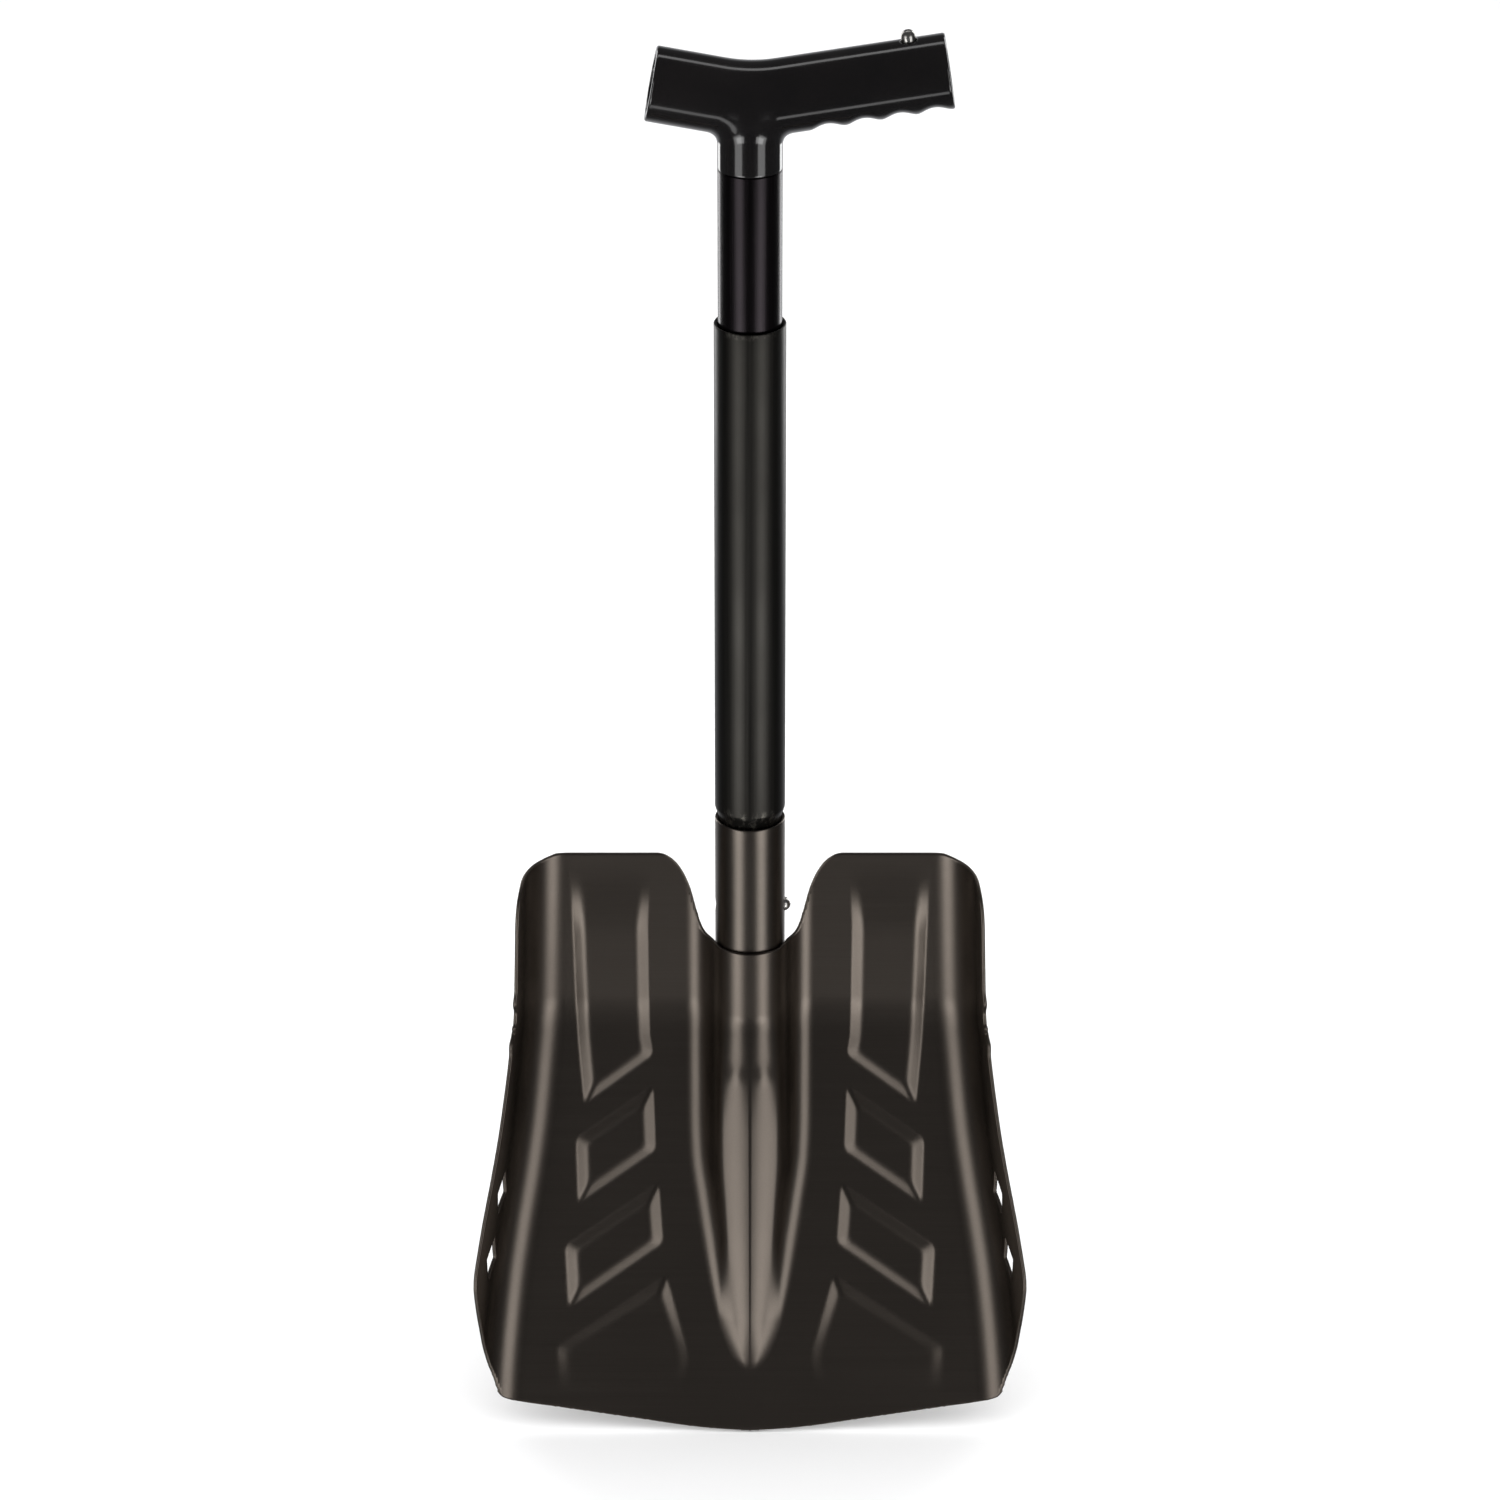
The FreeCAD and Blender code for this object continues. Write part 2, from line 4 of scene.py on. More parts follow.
import bpy
import numpy as np
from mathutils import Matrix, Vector


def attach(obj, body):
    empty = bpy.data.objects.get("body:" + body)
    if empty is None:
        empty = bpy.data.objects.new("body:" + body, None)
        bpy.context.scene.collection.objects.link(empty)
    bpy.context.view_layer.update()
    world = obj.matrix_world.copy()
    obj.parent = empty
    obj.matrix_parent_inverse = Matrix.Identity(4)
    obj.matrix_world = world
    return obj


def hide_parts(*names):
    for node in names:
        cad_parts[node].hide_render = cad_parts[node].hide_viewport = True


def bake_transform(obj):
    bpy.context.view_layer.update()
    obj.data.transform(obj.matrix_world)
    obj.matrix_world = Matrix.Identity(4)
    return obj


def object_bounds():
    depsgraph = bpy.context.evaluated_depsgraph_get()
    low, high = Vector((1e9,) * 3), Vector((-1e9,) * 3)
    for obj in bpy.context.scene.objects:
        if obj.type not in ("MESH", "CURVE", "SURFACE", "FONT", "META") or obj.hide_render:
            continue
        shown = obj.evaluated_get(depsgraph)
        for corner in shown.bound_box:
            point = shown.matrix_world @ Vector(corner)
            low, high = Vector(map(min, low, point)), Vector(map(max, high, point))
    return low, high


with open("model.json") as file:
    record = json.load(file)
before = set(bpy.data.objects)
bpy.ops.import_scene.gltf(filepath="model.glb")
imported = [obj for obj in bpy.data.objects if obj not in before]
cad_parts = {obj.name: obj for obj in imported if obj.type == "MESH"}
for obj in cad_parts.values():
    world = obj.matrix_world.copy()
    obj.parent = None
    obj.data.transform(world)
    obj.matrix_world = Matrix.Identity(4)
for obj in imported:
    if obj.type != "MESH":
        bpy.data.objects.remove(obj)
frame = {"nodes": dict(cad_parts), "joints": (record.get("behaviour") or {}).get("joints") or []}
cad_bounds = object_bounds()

MM = 0.001
FAR = 99.0               # stands for "nowhere near" in a field of distances

# ---- dimensions shared with the CAD, in millimetres -----------------------
LEAN = math.radians(25.5)
SHEET = 1.7
FLOOR_Y = 3.0
BEND_Z = -103.2
BEND_R = 40.0
BLADE_TOP = -82.2
WALL_FILLET = 20.0
WALL_REACH = 37.0
RIDGE_R = 18.1
RIDGE_FOOT = 30.2
RIDGE_FOOT_R = 14.0
PROW_END = 168.0
PAD_RISE = 2.2
PAD_SLOPE = 6.0
EDGE_ROUND = 0.45

TUBE_R = 16.0
TUBE_WALL = 1.5
SMALL_R = 14.2
SOCKET_LEN = 124.0
SOCKET_HOLE_Z = -45.0
SNAP_HOLE_R = 3.7
LOWER_END_Z = -88.0
SHOULDER_Z = 0.3
SHOULDER_TOP_Z = 6.3
LOWER_TOP_Z = 241.0
FAR_HOLE_Z = 224.0
NEAR_HOLE_Z = 103.3
UPPER_END_Z = 58.3
LIP_Z = 312.3

ARM_HIGH = 16.6
ARM_DEEP = 15.4
ARM_BORE = 12.6
ARM_Z = LIP_Z + 30.6
RIGHT_RISE = math.radians(9.0)
LEFT_RISE = math.radians(10.5)
RIGHT_LEN = 87.0
LEFT_LEN = 43.5
SADDLE_R = 80.0
GRIP_BUTTON_AT = 71.4

# ---- mesh densities and small allowances, in millimetres --------------------
BLADE_SPACING, BLADE_SPACING_QUICK = 1.0, 1.25
GRIP_STEP, GRIP_STEP_QUICK = 0.55, 1.0
TUBE_SIDES = 168
TUBE_EDGE_ROUND = 0.15
PLAIN_RING_GAP = 9.0     # rings along a plain run of tube
RING_STEP = 0.4          # rings beside a hole or an end
RING_REACH = 5.2
END_SLACK = 0.001        # keeps the first and last ring of a tube
QUARTER = 1.5            # radians either side of a hole that can see it
SNAP_TO_CUT = 0.12       # field values this small count as on the cut
EDGE_STEPS = 3           # points round a cut edge between its two skins

# ---- blade details, in millimetres ------------------------------------------
CREST_TOP = 21.1         # ridge over the socket
TOOTH_RISE = 2.4
WINDOW_HALF_LONG, WINDOW_HALF_HIGH = 9.6, 5.0
WINDOW_HEIGHT = 17.0
WINDOW_STATIONS = (82.5, 113.0)
PANEL_CORNER = 2.5

# ---- grip details, in millimetres -------------------------------------------
SCALLOPS = (28.0, 43.8, 59.4, 74.6)
SCALLOP_R = 9.4
RIGHT_BORE_END, LEFT_BORE_END = 24.0, 22.0
NECK_BLEND = 5.5

# ---- studio -----------------------------------------------------------------
ROOM_LIGHT = 0.085
WALL_LIGHT = 0.62
EYE_WHITE = 0.95
FLOOR_HALF = 9.0
LENS = 135
SENSOR = 36
VIEW_HEIGHT = 0.685      # metres of the subject plane that the frame takes in
VIEW_RISE = 0.030


# ---- numeric helpers ------------------------------------------------------
def ease(value):
    """Smooth step from 0 to 1."""
    value = np.clip(value, 0.0, 1.0)
    return value * value * (3 - 2 * value)


def curve_through(table, value):
    """Smooth reading of a short list of (position, size) pairs."""
    xs = np.array([row[0] for row in table], float)
    ys = np.array([row[1] for row in table], float)
    slopes = np.gradient(ys, xs)
    steps = np.diff(ys) / np.diff(xs)
    for i in range(1, len(xs) - 1):
        if steps[i - 1] * steps[i] <= 0:
            slopes[i] = 0.0
        else:
            slopes[i] = 2 / (1 / steps[i - 1] + 1 / steps[i])
    value = np.clip(np.asarray(value, float), xs[0], xs[-1])
    k = np.clip(np.searchsorted(xs, value, side="right") - 1, 0, len(xs) - 2)
    width = xs[k + 1] - xs[k]
    t = (value - xs[k]) / width
    h00 = (1 + 2 * t) * (1 - t) ** 2
    h10 = t * (1 - t) ** 2
    h01 = t * t * (3 - 2 * t)
    h11 = t * t * (t - 1)
    return h00 * ys[k] + h10 * width * slopes[k] + h01 * ys[k + 1] + h11 * width * slopes[k + 1]


def soft_min(values, reach):
    """Minimum of several fields with rounded corners."""
    total = values[0]
    for other in values[1:]:
        blend = np.clip(0.5 + 0.5 * (other - total) / reach, 0, 1)
        total = other * (1 - blend) + total * blend - reach * blend * (1 - blend)
    return total


def soft_max(a, b, reach):
    """Maximum of two fields with a rounded corner."""
    return -soft_min([-a, -b], reach)


def polygon_distance(x, y, ring):
    """Signed distance to a polygon, negative inside."""
    best = np.full(x.shape, 1e9)
    inside = np.zeros(x.shape, bool)
    count = len(ring)
    for i in range(count):
        ax, ay = ring[i]
        bx, by = ring[(i + 1) % count]
        ex, ey = bx - ax, by - ay
        t = np.clip(((x - ax) * ex + (y - ay) * ey) / (ex * ex + ey * ey), 0, 1)
        best = np.minimum(best, np.hypot(x - ax - t * ex, y - ay - t * ey))
        crosses = (ay > y) != (by > y)
        at = ax + (y - ay) * ex / (ey if ey else 1e-12)
        inside ^= crosses & (x < at)
    return np.where(inside, -best, best)


def inner_distance(x, y, ring, reach):
    """Distance inward from a convex polygon's sides, corners rounded."""
    area = sum(a[0] * b[1] - b[0] * a[1] for a, b in zip(ring, ring[1:] + ring[:1]))
    sign = 1 if area > 0 else -1
    sides = []
    for (ax, ay), (bx, by) in zip(ring, ring[1:] + ring[:1]):
        length = math.hypot(bx - ax, by - ay)
        sides.append(((x - ax) * -(by - ay) + (y - ay) * (bx - ax)) / length * sign)
    return soft_min(sides, reach)


# ---- mesh helpers -----------------------------------------------------------
def make_object(name, verts, faces, slots=None):
    """Smooth-shaded mesh object from millimetre points."""
    mesh = bpy.data.meshes.new(name)
    mesh.from_pydata((np.asarray(verts, float) * MM).tolist(), [], faces)
    mesh.polygons.foreach_set("use_smooth", [True] * len(mesh.polygons))
    if slots is not None:
        mesh.polygons.foreach_set("material_index", slots)
    mesh.update()
    layer = mesh.uv_layers.new(name="length")
    corner = np.zeros(len(mesh.loops), dtype=np.int32)
    mesh.loops.foreach_get("vertex_index", corner)
    points = np.asarray(verts, float)[corner]
    layer.data.foreach_set("uv", (points[:, [2, 0]] * 0.002 + 0.5).ravel())
    obj = bpy.data.objects.new(name, mesh)
    bpy.context.scene.collection.objects.link(obj)
    return obj


def grid_normals(points, wrap):
    """Unit normals of a grid of points, by rows and columns."""
    down = np.gradient(points, axis=0)
    if wrap:
        across = np.roll(points, -1, axis=1) - np.roll(points, 1, axis=1)
    else:
        across = np.gradient(points, axis=1)
    normal = np.cross(across, down)
    return normal / np.linalg.norm(normal, axis=2, keepdims=True)


def clip_grid(points, normals, field, wrap):
    """Cut a grid of points where the field is negative.
    Returns vertices, their normals and faces."""
    rows, cols = field.shape
    field = np.where(np.abs(field) < SNAP_TO_CUT, 0.0, field)
    verts = list(points.reshape(-1, 3))
    norms = list(normals.reshape(-1, 3))
    flat = field.ravel()
    cuts = {}

    def cut(a, b):
        key = (min(a, b), max(a, b))
        if key not in cuts:
            t = flat[a] / (flat[a] - flat[b])
            cuts[key] = len(verts)
            verts.append(verts[a] * (1 - t) + verts[b] * t)
            normal = norms[a] * (1 - t) + norms[b] * t
            norms.append(normal / np.linalg.norm(normal))
        return cuts[key]

    faces = []
    last = cols if wrap else cols - 1
    for i in range(rows - 1):
        for j in range(last):
            k = (j + 1) % cols
            quad = [i * cols + j, i * cols + k, (i + 1) * cols + k, (i + 1) * cols + j]
            keep = [flat[q] >= 0 for q in quad]
            if all(keep):
                faces.append(quad)
                continue
            if not any(flat[q] > 0 for q in quad):
                continue
            ring = []
            for n in range(4):
                a, b = quad[n], quad[(n + 1) % 4]
                if flat[a] >= 0:
                    ring.append(a)
                if (flat[a] > 0 > flat[b]) or (flat[a] < 0 < flat[b]):
                    ring.append(cut(a, b))
            if len(ring) >= 3:
                faces.append(ring)
    return verts, norms, faces


def plate_object(name, points, field, thickness, wrap=False, round_edge=EDGE_ROUND):
    """Solid plate: front and back skins of a trimmed grid with rounded edges.
    Slot 0 is the skins and slot 1 the cut edge."""
    normals = grid_normals(points, wrap)
    verts, norms, faces = clip_grid(points, normals, field, wrap)
    used = sorted({v for f in faces for v in f})
    number = {v: i for i, v in enumerate(used)}
    front = np.array([verts[v] for v in used])
    out = np.array([norms[v] for v in used])
    faces = [[number[v] for v in f] for f in faces]
    count = len(front)
    back = front - out * np.reshape(thickness, (-1, 1))
    sides = {(a, b): True for f in faces for a, b in zip(f, f[1:] + f[:1])}
    rim = [(a, b) for a, b in sides if (b, a) not in sides]
    outward = {}
    for a, b in rim:
        side = np.cross(front[b] - front[a], out[a])
        size = np.linalg.norm(side)
        if size < 1e-9:
            continue
        for v in (a, b):
            outward[v] = outward.get(v, 0) + side / size
    points_out = [front, back]
    all_faces = [list(f) for f in faces]
    all_faces += [[v + count for v in reversed(f)] for f in faces]
    slots = [0] * len(all_faces)
    ring_of = {}
    extra = []
    base = 2 * count
    for v, side in outward.items():
        side = side / max(1e-9, np.linalg.norm(side))
        middle = (front[v] + back[v]) / 2
        half = (front[v] - back[v]) / 2
        ids = [v]
        for n in range(1, EDGE_STEPS + 1):
            angle = math.pi * n / (EDGE_STEPS + 1)
            ids.append(base + len(extra))
            extra.append(middle + half * math.cos(angle) + side * round_edge * math.sin(angle))
        ids.append(v + count)
        ring_of[v] = ids
    for a, b in rim:
        if a not in ring_of or b not in ring_of:
            continue
        ra, rb = ring_of[a], ring_of[b]
        for n in range(len(ra) - 1):
            all_faces.append([rb[n], ra[n], ra[n + 1], rb[n + 1]])
            slots.append(1)
    if extra:
        points_out.append(np.array(extra))
    return make_object(name, np.vstack(points_out), all_faces, slots)


# ---- blade ------------------------------------------------------------------
def floor_path(station):
    """Floor point and front normal at each station, as (y, z) arrays."""
    half = BEND_R * LEAN / 2
    setback = BEND_R * math.tan(LEAN / 2)
    turn = np.clip((station + half) / BEND_R, 0, LEAN)
    ny, nz = -np.cos(turn), np.sin(turn)
    dy, dz = -np.sin(turn), -np.cos(turn)
    beyond = np.where(station < -half, station + half, 0)
    beyond = np.where(station > half, station - half, beyond)
    y = FLOOR_Y - BEND_R - ny * BEND_R + dy * beyond
    z = BEND_Z + setback - nz * BEND_R + dz * beyond
    return y, z, ny, nz


def ridge_foot(station):
    """Half width of the central ridge at the floor."""
    table = [(-90, 30.2), (20, 30.2), (45, 30.1), (65, 29.4), (87, 26.5), (115, 22.0),
             (142, 16.0), (158, 10.0), (PROW_END, 4.5), (210, 4.0)]
    return curve_through(table, station)


def ridge_crest(station):
    """Height of the ridge's middle line over the floor."""
    table = [(-90, CREST_TOP), (5, CREST_TOP), (20, 20.8), (30, 20.3), (45, 19.1), (65, 16.8),
             (87, 13.7), (101, 11.7), (115, 9.5), (129, 7.3), (142, 5.1),
             (151, 3.4), (160, 1.6), (PROW_END, 0.0), (210, 0.0)]
    return curve_through(table, station)


def prow_height(x, foot, crest):
    """Creased prow: gentle top faces, steep flanks, hollow foot."""
    scale = np.minimum(1.0, 3.2 * crest / foot)
    middle, shoulder = 0.2 * scale, 0.5 * scale
    top_end = 0.42 * foot
    hollow = np.minimum(RIDGE_FOOT_R, 0.59 * foot)
    low = np.zeros(crest.shape)
    high = low + math.radians(80)
    for _ in range(36):
        angle = (low + high) / 2
        flank_end = foot - hollow * np.sin(angle)
        drop = (middle + shoulder) / 2 * top_end + hollow * (1 - np.cos(angle))
        drop = drop + (shoulder + np.tan(angle)) / 2 * (flank_end - top_end)
        low = np.where(drop < crest, angle, low)
        high = np.where(drop < crest, high, angle)
    inside = np.clip(foot - x, 0, hollow)
    base = hollow - np.sqrt(hollow ** 2 - inside ** 2)
    near = np.clip(x, 0, top_end)
    upper = crest - middle * near - (shoulder - middle) * near ** 2 / top_end / 2
    run = np.clip(x - top_end, 0, None)
    growth = (np.tan(angle) - shoulder) / (flank_end - top_end)
    upper = upper - shoulder * run - growth * run ** 2 / 2
    return np.where(x >= flank_end, base, upper)


def ridge_height(x, station):
    """Half-round over the socket that thins into a creased prow."""
    x = np.abs(x)
    foot = ridge_foot(station)
    reach = np.clip(x / foot, 0, 1) * RIDGE_FOOT
    turn_x = RIDGE_R * math.sin(math.radians(70))
    crown = FLOOR_Y + np.sqrt(np.maximum(0, RIDGE_R ** 2 - np.minimum(reach, turn_x) ** 2))
    inside = np.clip(RIDGE_FOOT - reach, 0, RIDGE_FOOT_R)
    base = RIDGE_FOOT_R - np.sqrt(RIDGE_FOOT_R ** 2 - inside ** 2)
    round_top = np.where(reach < turn_x, crown, base)
    crest = ridge_crest(station)
    mix = ease((station - 5) / 55)
    height = (1 - mix) * round_top * crest / CREST_TOP + mix * prow_height(x, foot, crest)
    height = np.where((x >= foot) | (crest <= 0.05), 0.0, height)
    knob = np.exp(-((x - 6.5) ** 2 + (station - 28) ** 2) / 18.0)
    return height + 0.5 * knob


def floor_end(station):
    """Half width of the flat floor, where the side wall's bend starts."""
    table = [(-90, 83.0), (0, 85.6), (20, 87.2), (50, 90.0), (75, 93.4),
             (100, 97.4), (125, 100.9), (165, 104.6), (210, 107.0)]
    return curve_through(table, station)


def wall_lean(station):
    """Angle of the side wall against the floor, steeper near the top."""
    table = [(-90, 81.0), (10, 80.0), (50, 76.0), (100, 72.5), (140, 71.0), (210, 70.0)]
    return np.radians(curve_through(table, station))


PANELS = [
    [(81.0, 58.4), (44.8, 33.4), (43.6, 64.4), (80.0, 89.6)],
    [(86.0, 108.2), (42.2, 78.8), (40.2, 107.6), (84.4, 138.2)],
    [(90.0, 155.0), (38.8, 121.8), (27.6, 160.0), (34.0, 190.0), (88.0, 190.0)],
]


def long_panel(x, station):
    """Distance inward from the sides of the panel that crosses the bend."""
    outer = curve_through([(-76, 83.4), (-60, 82.4), (-42, 81.8), (-9, 81.0),
                           (9, 80.2), (30, 78.4), (46, 76.8)], station)
    inner = curve_through([(-76, 44.6), (-60, 46.0), (-42, 47.0), (-9, 46.8),
                           (9, 46.4), (20, 45.0), (46, 44.4)], station)
    slant = 22.8 / math.hypot(22.8, 31.6)
    end = (43.0 - station) * math.sqrt(1 - slant ** 2) + (x - 76.6) * slant
    return soft_min([outer - x, x - inner, end], PANEL_CORNER)


def panel_height(x, station):
    """Stamped panels that stand proud of the floor."""
    x = np.abs(x)
    shapes = [(long_panel(x, station), ease((station + 76) / 36))]
    for ring in PANELS[:-1]:
        shapes.append((inner_distance(x, station, ring, PANEL_CORNER), 1.0))
    last_fade = np.clip((176 - station) / 54, 0, 1) ** 0.8
    shapes.append((inner_distance(x, station, PANELS[-1], PANEL_CORNER), last_fade))
    total = np.zeros(x.shape)
    for inward, fade in shapes:
        part = np.clip(inward / PAD_SLOPE, 0, 2)
        ramp = soft_min([part * 1.12, np.ones(x.shape)], 0.3)
        total = np.maximum(total, PAD_RISE * np.maximum(ramp, 0) * fade)
    return total


def rim_line(station):
    """Height of the side wall's rim, with its three teeth."""
    table = [(-92, 0.6), (-82.2, 0.9), (-80.6, 2.6), (-78.8, 8.0), (-76.5, 14.5),
             (-73.5, 20.5), (-70, 25.0), (-65, 27.8), (-58, 29.0), (0, 29.5),
             (60, 31.0), (100, 32.2), (118, 32.2), (125, 31.0), (131, 28.0),
             (140, 22.4), (150, 15.6), (160, 9.6), (170, 5.2), (179, 3.2),
             (190, 2.4), (210, 2.0)]
    height = curve_through(table, station)
    for low, high in ((-26.0, -14.5), (-14.5, 8.5), (8.5, 19.5)):
        part = np.clip((station - low) / (high - low), 0, 1)
        height = height + TOOTH_RISE * np.sin(math.pi * part) ** 2
    return height


def blade_field(x, station, height, z):
    """Positive on the blade, negative in openings and past the outline."""
    half = [(60, -20.0), (46, -20.4), (40, -21.3), (34.5, -25.0), (30.4, -31.2),
            (27.6, -38.6), (25.0, -49.5), (23.2, -56.0), (20.4, -60.6), (14.0, -62.2)]
    smooth = []
    at = np.linspace(0, len(half) - 1, 80)
    for i in (0, 1):
        smooth.append(curve_through([(n, p[i]) for n, p in enumerate(half)], at))
    right = list(zip(smooth[0], smooth[1]))
    left = [(-px, pz) for px, pz in reversed(right)]
    ring = [(-60, 40), (60, 40)] + right + left
    notch = polygon_distance(x, z, ring)
    lower = [(0, 194.6), (20, 193.2), (54, 188.6), (90, 183.4), (108, 180.8),
             (114, 179.0), (118, 174.0), (124, 160.0), (140, 120.0)]
    edge = curve_through(lower, np.abs(x)) - station
    top = station - BLADE_TOP
    field = np.minimum(np.minimum(notch, edge), top)
    rim = np.where(np.abs(x) > 60, rim_line(station) - height, FAR)
    field = np.minimum(field, rim)
    for centre in WINDOW_STATIONS:
        window = np.abs(station - centre) / WINDOW_HALF_LONG
        window = window + np.abs(height - WINDOW_HEIGHT) / WINDOW_HALF_HIGH - 1
        window = np.where(np.abs(x) > 88, window * 4.4, FAR)
        field = np.minimum(field, window)
    return field - EDGE_ROUND


def blade_grid(spacing):
    """Points of the whole pressed surface with station and height arrays."""
    rows = np.arange(BLADE_TOP - 0.8, 197.0, spacing)
    ridge = np.linspace(0, 1, int(34 / spacing))
    flat = np.linspace(0, 1, int(74 / spacing))[1:]
    bend = np.linspace(0, 1, int(22 / spacing))[1:]
    wall = np.linspace(0, 1, int(26 / spacing))[1:]
    station = rows[:, None]
    foot = ridge_foot(station)
    start = floor_end(station)
    lean = wall_lean(station)
    x_ridge = foot * ridge[None, :]
    x_flat = foot + (start - foot) * flat[None, :]
    angle = lean * bend[None, :]
    x_bend = start + WALL_FILLET * np.sin(angle)
    h_bend = WALL_FILLET * (1 - np.cos(angle)) + 0 * station
    top_x, top_h = x_bend[:, -1:], h_bend[:, -1:]
    rise = (WALL_REACH - top_h) * wall[None, :]
    x_wall = top_x + rise / np.tan(lean)
    x = np.hstack([x_ridge, x_flat, x_bend, x_wall])
    h = np.hstack([ridge_height(x_ridge, station), 0 * x_flat, h_bend, top_h + rise])
    s = station + 0 * x
    flat_part = x_ridge.shape[1] - 4
    raised = panel_height(x, s)
    raised[:, flat_part + x_flat.shape[1] + 8:] = 0
    x = np.hstack([-x[:, :0:-1], x])
    h = np.hstack([h[:, :0:-1], h])
    s = np.hstack([s[:, :0:-1], s])
    raised = np.hstack([raised[:, :0:-1], raised])
    y0, z0, ny, nz = floor_path(s)
    total = h + raised
    points = np.stack([x, y0 + ny * total, z0 + nz * total], axis=2)
    return points, x, s, h


def build_blade():
    """The pressed blade with its trimmed outline."""
    points, x, s, h = blade_grid(BLADE_SPACING)
    field = blade_field(x, s, h, points[:, :, 2])
    points = points[::-1, :, :]
    field = field[::-1, :]
    blade = plate_object("blade_pressing", points, field, SHEET)
    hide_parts("blade_sheet")
    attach(blade, "blade")
    return blade


# ---- tubes ------------------------------------------------------------------
def tube_rows(low, high, marks):
    """Heights of the rings, close together round the marks."""
    count = max(2, int((high - low) / PLAIN_RING_GAP))
    rows = set(np.round(np.linspace(low, high, count), 3))
    for mark in marks:
        near = np.arange(mark - RING_REACH, mark + RING_REACH + 0.01, RING_STEP)
        rows |= set(np.round(near, 3))
    rows |= {low + RING_STEP, low + 2 * RING_STEP, high - RING_STEP, high - 2 * RING_STEP}
    return np.array(sorted(r for r in rows if low <= r <= high))


def build_tube(name, node, body, radius_at, low, high, holes, extra=()):
    """Round tube with snap holes; holes are (z, angle) pairs."""
    rows = tube_rows(low, high, [z for z, _ in holes] + list(extra))
    angle = np.linspace(0, 2 * math.pi, TUBE_SIDES, endpoint=False)[None, :]
    z = rows[:, None] + 0 * angle
    radius = radius_at(rows)[:, None] + 0 * angle
    points = np.stack([radius * np.cos(angle), radius * np.sin(angle), z], axis=2)
    field = np.minimum(z - low, high - z) + END_SLACK
    for hole_z, way in holes:
        away = (angle - way + math.pi) % (2 * math.pi) - math.pi
        across = radius * np.sin(np.clip(away, -QUARTER, QUARTER))
        hole = np.hypot(across, z - hole_z) - SNAP_HOLE_R - TUBE_EDGE_ROUND
        field = np.minimum(field, np.where(np.abs(away) < QUARTER, hole, FAR))
    tube = plate_object(name, points, field, TUBE_WALL, wrap=True, round_edge=TUBE_EDGE_ROUND)
    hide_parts(node)
    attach(tube, body)
    return tube


def lower_radius(z):
    """Outside radius of the lower shaft along its length."""
    table = [(LOWER_END_Z, SMALL_R - 1.0), (LOWER_END_Z + 0.5, SMALL_R - 0.35),
             (LOWER_END_Z + 1.4, SMALL_R), (SHOULDER_Z - 0.2, SMALL_R),
             (SHOULDER_Z + 1.0, SMALL_R + 0.25), (SHOULDER_TOP_Z - 1.0, TUBE_R - 0.2),
             (SHOULDER_TOP_Z, TUBE_R), (LOWER_TOP_Z - 0.5, TUBE_R), (LOWER_TOP_Z, TUBE_R - 0.3)]
    return curve_through(table, z)


def build_tubes():
    """Socket, lower shaft and upper shaft."""
    quarter = math.pi / 2
    built = {}
    built["socket"] = build_tube(
        "socket", "socket_tube", "blade", lambda z: TUBE_R - 0.25 * ease((z + 0.5) / 0.5),
        -SOCKET_LEN, 0.0, [(SOCKET_HOLE_Z, 0.0), (SOCKET_HOLE_Z, math.pi)])
    built["lower"] = build_tube(
        "lower_shaft", "lower_shaft_tube", "lower_shaft", lower_radius,
        LOWER_END_Z, LOWER_TOP_Z,
        [(SOCKET_HOLE_Z, 0.0), (NEAR_HOLE_Z, quarter), (FAR_HOLE_Z, quarter)],
        extra=(LOWER_END_Z, SHOULDER_Z, SHOULDER_TOP_Z))
    built["upper"] = build_tube(
        "upper_shaft", "upper_shaft_tube", "handle", lambda z: SMALL_R + 0 * z,
        UPPER_END_Z, LIP_Z - 0.15, [(NEAR_HOLE_Z, quarter)])
    return built


# ---- grip -------------------------------------------------------------------
def arm_frame(x, z):
    """Distance along the arms and height over their centre line."""
    turn = RIGHT_RISE + LEFT_RISE
    setback = SADDLE_R * math.tan(turn / 2)
    right = (math.cos(RIGHT_RISE), math.sin(RIGHT_RISE))
    left = (-math.cos(LEFT_RISE), math.sin(LEFT_RISE))
    right_up = (-right[1], right[0])
    left_up = (left[1], -left[0])
    centre_x = right[0] * setback + right_up[0] * SADDLE_R
    centre_z = right[1] * setback + right_up[1] * SADDLE_R
    along_right = x * right[0] + z * right[1]
    along_left = x * left[0] + z * left[1]
    up_right = x * right_up[0] + z * right_up[1]
    up_left = x * left_up[0] + z * left_up[1]
    up_saddle = SADDLE_R - np.hypot(x - centre_x, z - centre_z)
    up = np.where(along_right > setback, up_right,
                  np.where(along_left > setback, up_left, up_saddle))
    return along_right, along_left, up


